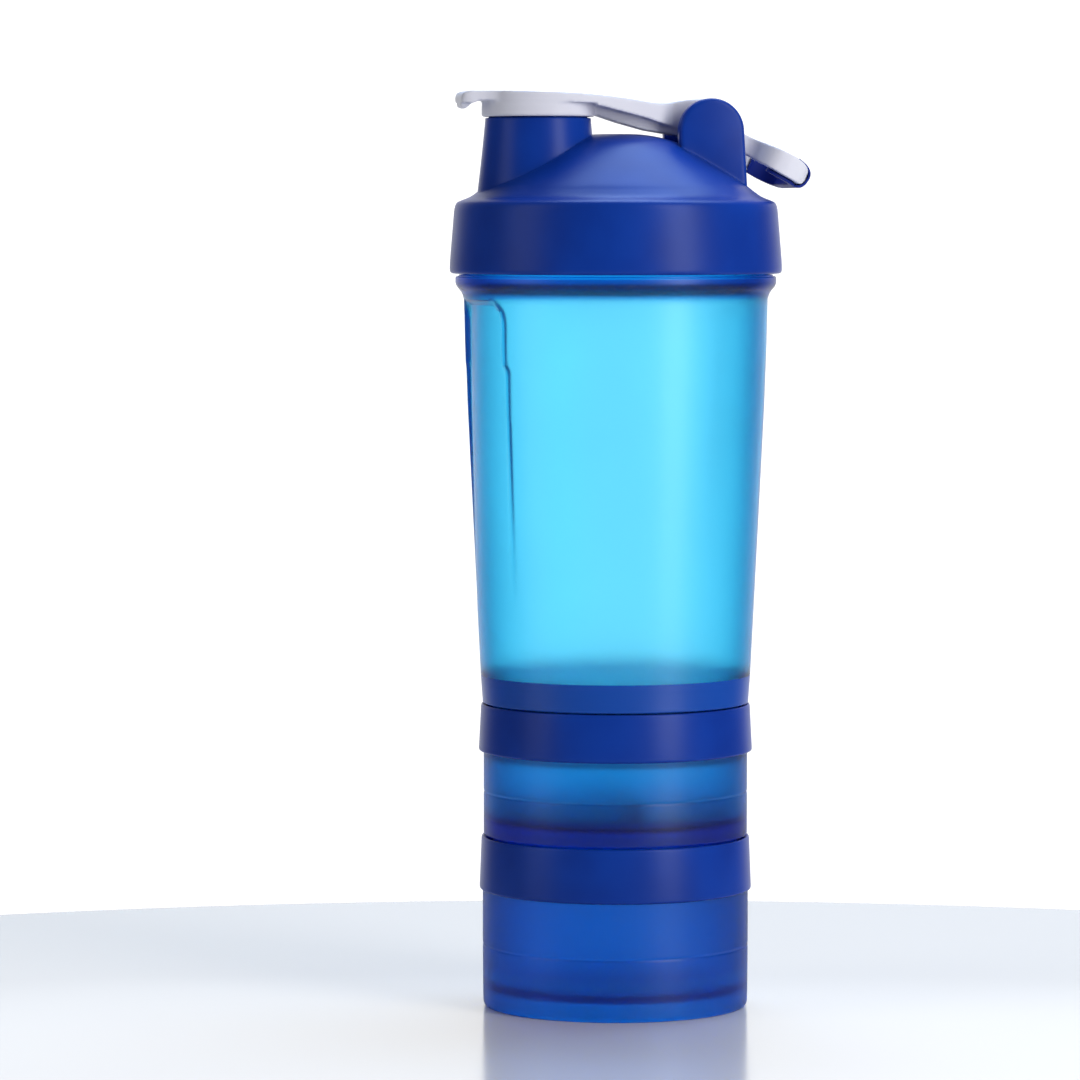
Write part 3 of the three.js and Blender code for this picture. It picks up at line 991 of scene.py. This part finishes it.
@dataclass
class Bottle(Piece):
    """The tapered drinking bottle: threaded mouth, flange, grip panels, floor and screw boss."""

    wall: float = 1.9
    floor: float = 92.8
    neck_outer: float = 42.0
    neck_inner: float = 40.2
    flange: float = 45.3
    shelf: float = 44.4
    thread_height: float = 213.4
    row: float = 1.5
    stations: tuple[Point, ...] = (
        (37.7, 86.3), (38.2, 94.0), (40.6, 142.0), (42.0, 170.5), (42.6, 187.5), (42.9, 201.0),
    )

    def radius(self, z: float) -> float:
        """Outside radius of the body at a height, on a smooth taper."""
        pairs = list(zip(self.stations, self.stations[1:]))
        for (r0, z0), (r1, z1) in pairs:
            if z <= z1:
                return r0 + (r1 - r0) * (z - z0) / (z1 - z0)
        return self.stations[-1][0]

    def rows(self, low: float, high: float, inset: float) -> list[Point]:
        """Closely spaced points up the wall."""
        count = round((high - low) / self.row)
        heights = [low + (high - low) * i / count for i in range(count + 1)]
        return [(self.radius(z) - inset, z) for z in heights]

    def build(self) -> None:
        """Turns the bottle, presses the grips and adds both threads."""
        boss = Boss()
        seam, lip, step = AT.upper_seam, AT.lip, AT.cap_bottom - GAP
        inside = self.rows(self.floor + 4.0, 199.0, self.wall)
        outside = self.rows(self.floor + 1.5, 200.5, 0.0)[::-1]
        above = eased([
            inside[-1], (41.0, 202.0, 1.5), (self.neck_inner, 206.0, 2.0), (self.neck_inner, lip, 0.7),
            (self.neck_outer, lip, 0.7), (self.neck_outer, step, 0.4), (self.shelf, step, 0.25),
            (self.shelf, step - 0.5, 0.1), (self.flange, step - 0.5, 0.7), (self.flange, 204.5, 1.2),
            (43.5, 202.5, 1.6), outside[0],
        ], steps=6)
        below = eased([
            outside[-1], (37.7, seam + 1.2), (37.7, seam + GAP, 0.9),
            *boss.profile(seam, self.floor - 1.5),
        ])
        bottom = eased([(0.0, self.floor), (35.2, self.floor, 1.5), inside[0]], steps=8)
        profile = [*bottom, *inside[1:-1], *above, *outside[1:-1], *below]
        bottle = turned("bottle_fine", profile, steps=288)
        GripRecess().press(bottle, reach=30.0)
        boss.thread(seam).add_to(bottle)
        Thread(self.neck_outer, True, self.thread_height).add_to(bottle)
        self.hand_over(
            shade(bottle), "bottle", "bottle", "bottle_plastic", self.finishes.bottle,
            self.finishes.bottle_floor, self.finishes.bottle_skirt,
        )
        # Painted shade: the outer skirt faces below the floor take the darker skirt finish.
        paint_faces(bottle, 2, lambda c: c.z < self.floor and math.hypot(c.x, c.y) > 36.0)
        paint_faces(bottle, 1, lambda c: abs(c.z - self.floor) < 0.2 and math.hypot(c.x, c.y) < 35.0)


@dataclass
class Cap(Piece):
    """The screw cap with its spout and hinge ears, the gasket, the strainer and the hinge pin."""

    bore: float = 43.8
    plug_outer: float = 39.5
    plug_inner: float = 38.0
    plug_bottom: float = 219.5
    spout_x: float = -22.3
    spout_radius: float = 14.9
    spout_base: float = 16.9
    spout_bore: float = 12.6
    spout_top: float = 253.0
    shoulder: float = 251.4
    ear_radius: float = 9.3
    ear_inner: float = 8.5
    ear_outer: float = 13.0
    ear_socket: float = 11.8
    pin_radius: float = 2.0
    roof: float = 226.6

    def build(self) -> None:
        """Makes and places them."""
        self.shell()
        bore = (self.plug_outer + GAP, Bottle.neck_outer)
        self.seal("cap_gasket", "gasket", bore, (AT.lip + GAP, self.roof - GAP), 0.4)
        self.strainer()
        self.pin()

    def shell(self) -> None:
        """Ring, dome, spout and ears as one moulding."""
        bottom, wide = AT.cap_bottom, AT.cap_radius
        dome = flowing([
            (43.4, 228.4), (41.0, 229.4), (38.6, 231.1), (36.0, 233.1), (28.0, 238.5), (20.1, 243.3),
            (14.5, 245.5), (7.5, 246.8), (0.0, 247.0),
        ])
        skin = turned("cap_fine", [
            *eased([
                (0.0, bottom), (wide - 0.1, bottom, 1.2), (wide - 0.1, 210.5, 1.5), (45.5, 227.5, 2.8),
                (43.4, 228.4),
            ]),
            *dome[1:],
        ])
        combine(skin, self.spout(), Join.ADD)
        for hand in (-1, 1):
            combine(skin, self.ear(hand), Join.ADD)
        cavity = turned("cavity", eased([
            (0.0, bottom - 2), (45.0, bottom - 2), (45.0, bottom, 0.2), (self.bore, 210.8, 0.8),
            (self.bore, self.roof, 0.6), (39.8, self.roof, 0.3), (37.6, 229.0, 1.0), (34.6, 231.6, 1.5),
            (19.5, 241.1, 4.0), (13.5, 243.6, 3.0), (0.0, 245.0),
        ]))
        combine(skin, cavity, Join.CUT)
        top = self.spout_top
        drink = turned("drink", eased([
            (0.0, 225.0), (self.spout_bore, 225.0), (self.spout_bore, top - 1.0, 0.8),
            (self.spout_bore + 0.9, top + 0.6), (0.0, top + 0.6),
        ]), steps=96, x=self.spout_x)
        combine(skin, drink, Join.CUT)
        plug = turned("plug", eased([
            (self.plug_inner, 224.0), (self.plug_inner, self.plug_bottom, 0.5),
            (self.plug_outer, self.plug_bottom, 0.6), (self.plug_outer, 227.6), (self.plug_inner, 229.0),
        ]))
        combine(skin, plug, Join.ADD)
        Thread(self.bore, False, Bottle.thread_height).add_to(skin)
        self.hand_over(shade(skin, 28.0), "cap", "cap", "cap_plastic", self.finishes.cap)

    def spout(self) -> bpy.types.Object:
        """The drinking spout as a solid plug of its outer form."""
        radius, top = self.spout_radius, self.spout_top
        flare = flowing([
            (self.spout_base + 0.3, 229.5), (self.spout_base, 232.0), (16.2, 238.0), (15.5, 244.5),
            (radius, self.shoulder - 0.8),
        ])
        return turned("spout", [
            (0.0, 229.5), *flare,
            *eased([flare[-1], (radius, self.shoulder, 0.5), (13.9, self.shoulder, 0.2), (13.9, top, 0.9),
                    (0.0, top)])[1:],
        ], steps=96, x=self.spout_x)

    def ear(self, hand: int) -> bpy.types.Object:
        """One hinge ear, round-topped and soft-edged, with a blind socket for the pin."""
        x, z, radius, foot = AT.pivot_x, AT.pivot_z, self.ear_radius, 230.6
        outline = [
            (x + radius + 1.0, foot), *arc((x, z), radius, 0, 180, 32), (x - radius + 0.6, foot),
        ]
        low, high = sorted((hand * self.ear_inner, hand * self.ear_outer))
        ear = slab("ear", outline, Across.Y, low, high)
        bevelled(ear, 1.1, 4)
        inner, deep = hand * (self.ear_inner - 1), hand * self.ear_socket
        return combine(ear, dowel("blind", PIN_HOLE, x, z, *sorted((inner, deep))), Join.CUT)

    def strainer(self) -> None:
        """The slotted disc clipped inside the cap."""
        radius = self.plug_inner - GAP
        low, high, clip, wall, web = 215.0, 217.0, 225.0, 1.6, 2.2
        disc = turned("mixing_grid_fine", eased([
            (0.0, low), (radius, low, 0.8), (radius, clip, 0.6), (radius - wall, clip, 0.6),
            (radius - wall, high, 0.8), (0.0, high),
        ]))
        for inner, outer, count in ((6.0, 13.0, 3), (17.0, 31.5, 6)):
            margin = math.degrees(web / inner) / 2
            last = 360 / count - margin
            outline = [*arc((0, 0), outer, margin, last, 20), *arc((0, 0), inner, last, margin, 20)]
            slot = slab("slot", outline, Across.Z, low - 1, high + 1)
            bevelled(slot, 0.9, 3, sharp=1.2)
            for i in range(count):
                space = settle(twin(slot, f"slot_{i}"), turn=(0, 0, 360 * i / count))
                combine(disc, space, Join.CUT)
            bpy.data.objects.remove(slot)
        self.hand_over(shade(disc), "cap", "mixing_grid", "white_plastic", self.finishes.white)

    def pin(self) -> None:
        """The axle, with chamfered ends."""
        reach = self.ear_socket - GAP
        pin = dowel("hinge_pin_fine", self.pin_radius, AT.pivot_x, AT.pivot_z, -reach, reach)
        bevelled(pin, 0.4, 3)
        self.hand_over(shade(pin), "cap", "hinge_pin", "white_plastic", self.finishes.white)


@dataclass
class FlipArm(Piece):
    """The white lever with its thumb tab and spout cover, and the soft plug under it."""

    cover_radius: float = 15.9
    cover_bore: float = 14.3
    skirt: float = 251.7
    roof: float = 255.4
    hub_radius: float = 5.3
    hub_half: float = 4.2
    rib_half: float = 3.4
    voxel: float = 0.4

    def build(self) -> None:
        """Makes and places them."""
        self.lever()
        self.stopper()

    def side(self) -> list[Point]:
        """The lever seen from the side."""
        x, z = AT.pivot_x, AT.pivot_z
        top = [
            (-45.1, 256.9), *bend((-45.1, 256.9), (-45.0, 258.9), (-42.5, 258.9)),
            *bend((-42.5, 258.9), (-30.0, 258.9), (-24.0, 258.5)),
            *bend((-24.0, 258.5), (-8.0, 258.3), (7.0, 256.0)),
            *bend((7.0, 256.0), (12.0, 255.1), (17.0, 256.1)),
            *bend((17.0, 256.1), (21.0, 256.9), (x, z + 9.2)),
        ]
        hub = [*arc((x, z), 9.2, 90, 45, 8)[1:], *arc((x, z), self.hub_radius, 0, -135, 16)]
        under = [
            (17.5, 246.4), (8.0, 248.0), (0.0, 250.2), (-6.6, 252.4), (-8.0, self.roof), (-39.0, 256.3),
            *bend((-39.0, 256.3), (-41.5, 256.0), (-42.6, 254.6)), (-43.6, 253.9), (-44.9, 254.4),
        ]
        return [*top, *hub, *under]

    def plan(self) -> list[Point]:
        """The lever seen from above: tab, round cover, and a taper to the hub."""
        centre = Cap.spout_x
        half = [
            (AT.pivot_x + 11, self.hub_half), (15.5, self.hub_half),
            *bend((15.5, self.hub_half), (14.0, 5.9), (10.0, 7.5)),
            *bend((10.0, 7.5), (-2.0, 12.6), (-12.0, 14.8)),
            *bend((-12.0, 14.8), (-17.0, 15.8), (centre, self.cover_radius)),
            *arc((centre, 0), self.cover_radius, 90, 142, 14)[1:],
            *bend((centre - 12.5, 9.8), (-37.0, 7.8), (-41.0, 7.4)),
            *bend((-41.0, 7.4), (-45.6, 7.4), (-45.6, 3.5)),
        ]
        return mirrored(half)

    def lever(self) -> None:
        """Plate, rib, cover and hub as one moulding."""
        centre, outline = Cap.spout_x, self.side()
        plate = slab("flip_arm_fine", outline, Across.Y, -20, 20)
        above = [(-50, 255.7), (-7, 254.7), (7, 251.4), (17, 248.4), (40, 240), (40, 262), (-50, 262)]
        combine(plate, slab("above", above, Across.Y, -21, 21), Join.KEEP)
        combine(plate, slab("plan", self.plan(), Across.Z, 240, 262), Join.KEEP)
        cover = turned("cover", eased([
            (0.0, self.roof), (self.cover_bore, self.roof, 0.5), (self.cover_bore, self.skirt, 0.4),
            (self.cover_radius, self.skirt, 0.5), (self.cover_radius, 255.9, 1.6), (14.6, 257.8, 1.6),
            (0.0, 258.2),
        ]), steps=96, x=centre)
        rib = slab("rib", outline, Across.Y, -self.rib_half, self.rib_half)
        hub = dowel("hub", self.hub_radius, AT.pivot_x, AT.pivot_z, -self.hub_half, self.hub_half)
        melt(plate, cover, rib, hub)
        moulded(plate, self.voxel, 5)
        combine(plate, dowel("hole", PIN_HOLE, AT.pivot_x, AT.pivot_z, -10, 10), Join.CUT)
        self.hand_over(shade(plate, 60), "flip_arm", "flip_arm", "white_plastic", self.finishes.white)

    def stopper(self) -> None:
        """The tapered plug with a flange that holds it in the cover."""
        high = self.roof - GAP
        plug = turned("spout_stopper_fine", eased([
            (0.0, 248.0), (7.0, 248.0, 1.5), (8.5, 247.2, 1.0), (10.6, 247.2, 0.8), (11.6, 248.4, 0.8),
            (12.1, 253.6, 0.4), (13.2, 254.4, 0.3), (13.2, high, 0.2), (0.0, high),
        ]), steps=96, x=Cap.spout_x)
        self.hand_over(shade(plug), "flip_arm", "spout_stopper", "silicone", self.finishes.silicone)


@dataclass
class CarryLoop(Piece):
    """The U-shaped carrying loop and its soft lining. Drawn lying flat, then drooped about the pivot."""

    droop: float = 25.0
    tip: float = 30.58
    half_width: float = 17.0
    neck: float = 10.0
    flare: float = 11.0
    corner: float = 8.5
    strap: float = 2.4
    lining_depth: float = 1.5
    lining_lip: float = 1.1
    lining_top: float = 1.5
    lining_start: float = 18.5
    sleeve_outside: float = 1.2
    sleeve_lip: float = 0.9
    sleeve_start: float = 26.0
    sleeve_half: float = 10.5
    eye: float = 5.2
    eye_inner: float = 4.6
    eye_outer: float = 8.1
    voxel: float = 0.3
    lining_voxel: float = 0.2

    def build(self) -> None:
        """Makes and places both."""
        self.loop()
        self.lining()

    def side(self, margin: float) -> list[Point]:
        """The strap seen from the side, grown by a margin."""
        m, tip = margin, self.tip + margin
        return [
            (0.0, 4.1 + m), (25.0, 3.3 + m), *bend((25.0, 3.3 + m), (tip, 2.7 + m), (tip, 0.2)),
            *bend((tip, 0.2), (tip - 0.2, -2.7 - m), (tip - 2.6, -2.9 - m)),
            *bend((tip - 2.6, -2.9 - m), (18.0, -2.9 - m), (13.0, -1.5 - m)), (0.0, -0.4 - m),
        ]

    def line(self, inset: float) -> list[Point]:
        """Half of the U in plan, at a distance inside the strap's outer line."""
        end, side, hub = self.tip - inset, self.half_width - inset, self.eye_outer - inset
        neck, radius = self.neck, self.corner - inset
        middle, flared = (neck + self.flare / 2, (hub + side) / 2), neck + self.flare
        return [
            (0.0, hub), (neck, hub), *bend((neck, hub), (neck + 0.29 * self.flare, hub), middle),
            *bend(middle, (flared - 0.29 * self.flare, side), (flared, side)),
            *arc((end - radius, side - radius), radius, 90, 0, 12),
        ]

    def band(self, outer: float, inner: float, margin: float, start: float = -20.0) -> bpy.types.Object:
        """The U-shaped band between two insets of the outer line.

        Args:
            outer: Inset of its outside.
            inner: Inset of its inside.
            margin: How far its edges stand beyond the strap's.
            start: Where along the loop it begins.

        Returns:
            The band, lying flat.
        """
        around, within = self.line(outer), self.line(inner)
        within[0] = (-1.0, within[0][1])

        made = slab("band", mirrored(around), Across.Z, -12, 12)
        combine(made, slab("within", mirrored(within), Across.Z, -13, 13), Join.CUT)
        combine(made, slab("side", self.side(margin), Across.Y, -30, 30), Join.KEEP)
        if start > 0:
            window = [(start, -40), (60, -40), (60, 40), (start, 40)]
            combine(made, slab("window", window, Across.Z, -14, 14), Join.KEEP)
        return made

    def hang(self, obj: bpy.types.Object) -> bpy.types.Object:
        """Droops a flat piece about the pivot."""
        return settle(obj, turn=(0, self.droop, 0), move=(AT.pivot_x, 0, AT.pivot_z))

    def loop(self) -> None:
        """The white strap with its two eyes."""
        made = self.band(0, self.strap, 0)
        for hand in (-1, 1):
            low, high = sorted((hand * self.eye_inner, hand * self.eye_outer))
            melt(made, dowel("eye", self.eye, 0, 0, low, high))
        moulded(made, self.voxel, 4)
        combine(made, dowel("hole", PIN_HOLE, 0, 0, -20, 20), Join.CUT)
        made.name = made.data.name = "carry_loop_fine"
        self.hang(made)
        self.hand_over(shade(made, 60), "carry_loop", "carry_loop", "white_plastic", self.finishes.white)

    def lining(self) -> None:
        """The soft lining, lipped over the strap's edges, with a sleeve round the tip."""
        inner, reach = self.strap + self.lining_depth, self.sleeve_half
        made = self.band(-self.sleeve_outside, inner, self.sleeve_lip, start=self.sleeve_start)
        middle = [(0, -reach), (60, -reach), (60, reach), (0, reach)]
        combine(made, slab("middle", middle, Across.Z, -12, 12), Join.KEEP)
        lining = self.band(self.strap - 0.5, inner, self.lining_lip, start=self.lining_start)
        below = [(0, -30), (60, -30), (60, 30), (0, 30)]
        combine(lining, slab("below", below, Across.Z, -12, self.lining_top), Join.KEEP)
        combine(made, lining, Join.ADD)
        combine(made, self.band(-2.0, self.strap + GAP, GAP), Join.CUT)
        moulded(made, self.lining_voxel, 2)
        made.name = made.data.name = "carry_loop_grip_fine"
        self.hang(made)
        self.hand_over(shade(made, 60), "carry_loop", "carry_loop_grip", "grip_rubber", self.finishes.grip)


# ---- studio -------------------------------------------------------------------------------------
@dataclass(frozen=True)
class Studio:
    """Pale round table, white surroundings, two tall soft boxes and a long lens at cap height."""

    swing: float = 11.0
    distance: float = 1.49
    eye_height: float = 0.225
    aim_height: float = 0.13225
    aim_side: float = -0.0214
    lens: float = 175.6
    table_radius: float = 0.52
    table_forward: float = 0.29
    dark_from: float = 0.62
    bright_from: float = 0.97
    front_glow: float = 0.12
    back_glow: float = 1.22

    @property
    def axis(self) -> Vector:
        """Foot of the bottle's axis."""
        return Vector((AT.axis_x * MM, 0, 0))

    def heading(self, turn: float) -> Vector:
        """Level direction from the bottle, turned from the camera's to its right by degrees."""
        angle = math.radians(270 - self.swing + turn)
        return Vector((math.cos(angle), math.sin(angle), 0))

    def build(self) -> None:
        """Sets up the table, the surroundings, the lights and the camera."""
        self.table()
        self.surroundings()
        self.soft_box("key_box", 46, 0.95, (0.36, 1.1), 0.42, 10.0)
        self.soft_box("fill_box", -66, 1.0, (0.45, 1.1), 0.42, 3.2)
        self.soft_box("top_box", 160, 0.42, (0.9, 0.6), 1.15, 14.0, (0.45, 0.66, 1.0))
        self.camera()

    def table(self) -> None:
        """The round table top, marked as stage."""
        centre = self.heading(0) * self.table_forward + self.axis
        bpy.ops.object.select_all(action="DESELECT")
        bpy.ops.mesh.primitive_cylinder_add(
            vertices=256, radius=self.table_radius, depth=0.02, location=(centre.x, centre.y, -0.01)
        )
        top = bpy.context.object
        top.name = "table_top"
        bevelled(top, 4.0, 4)
        bench = NodeBench("table_pale")
        cloud = bench.noise(160.0)
        colour = bench.mix(cloud, (0.81, 0.76, 0.705), (0.79, 0.74, 0.685))
        bench.set(Base_Color=colour, Roughness=0.16 + cloud * 0.04)
        top.data.materials.append(bench.material)
        shade(top)

    def surroundings(self) -> None:
        """A white cove behind the bottle that darkens towards the sides and the front."""
        world = bpy.data.worlds.new("studio_cove")
        bpy.context.scene.world = world
        world.use_nodes = True
        tree = world.node_tree
        tree.nodes.clear()
        place = tree.nodes.new("ShaderNodeTexCoord")
        depth = tree.nodes.new("ShaderNodeVectorMath")
        depth.operation = "DOT_PRODUCT"
        tree.links.new(place.outputs["Generated"], depth.inputs[0])
        depth.inputs[1].default_value = -self.heading(0)
        glow = tree.nodes.new("ShaderNodeMapRange")
        glow.interpolation_type = "SMOOTHSTEP"
        for name, value in (
            ("From Min", self.dark_from), ("From Max", self.bright_from),
            ("To Min", self.front_glow), ("To Max", self.back_glow),
        ):
            glow.inputs[name].default_value = value
        tree.links.new(depth.outputs["Value"], glow.inputs["Value"])
        background = tree.nodes.new("ShaderNodeBackground")
        background.inputs["Color"].default_value = (*WHITE, 1.0)
        tree.links.new(glow.outputs[0], background.inputs["Strength"])
        output = tree.nodes.new("ShaderNodeOutputWorld")
        tree.links.new(background.outputs[0], output.inputs["Surface"])

    def soft_box(self, name: str, turn: float, away: float, size: Point, height: float, power: float,
                 colour: Colour = WHITE) -> None:
        """A tall rectangular lamp that faces the bottle.

        Args:
            name: Its name.
            turn: Degrees to the camera's right.
            away: Distance in metres.
            size: Width and height in metres.
            height: Height of its middle.
            power: Watts.
            colour: Of its light.
        """
        light = bpy.data.lights.new(name, "AREA")
        light.color = colour
        light.shape, light.size, light.size_y, light.energy = "RECTANGLE", size[0], size[1], power
        obj = bpy.data.objects.new(name, light)
        bpy.context.scene.collection.objects.link(obj)
        place = self.heading(turn) * away + self.axis + Vector((0, 0, height))
        obj.location = place
        obj.rotation_euler = (Vector((0, 0, 0.15)) - place).to_track_quat("-Z", "Y").to_euler()
        obj.visible_camera = False

    def camera(self) -> None:
        """The long lens, at cap height and aimed a little down and to the side of the bottle."""
        data = bpy.data.cameras.new("camera")
        data.lens, data.sensor_width = self.lens, 36.0
        obj = bpy.data.objects.new("camera", data)
        bpy.context.scene.collection.objects.link(obj)
        out = self.heading(0)
        right = Vector((-out.y, out.x, 0))
        obj.location = out * self.distance + self.axis + Vector((0, 0, self.eye_height))
        aim = right * self.aim_side + self.axis + Vector((0, 0, self.aim_height))
        obj.rotation_euler = (aim - obj.location).to_track_quat("-Z", "Y").to_euler()
        bpy.context.scene.camera = obj
        bpy.context.scene.view_settings.view_transform = "Standard"


def main() -> None:
    """Builds every sub-assembly round the frame."""
    logging.basicConfig(level=logging.INFO, format="%(message)s")
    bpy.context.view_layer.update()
    finishes = Finishes()
    for part in (Cups, Bottle, Cap, FlipArm, CarryLoop):
        part(finishes).build()
    Studio().build()


if __name__ == "__main__":
    main()
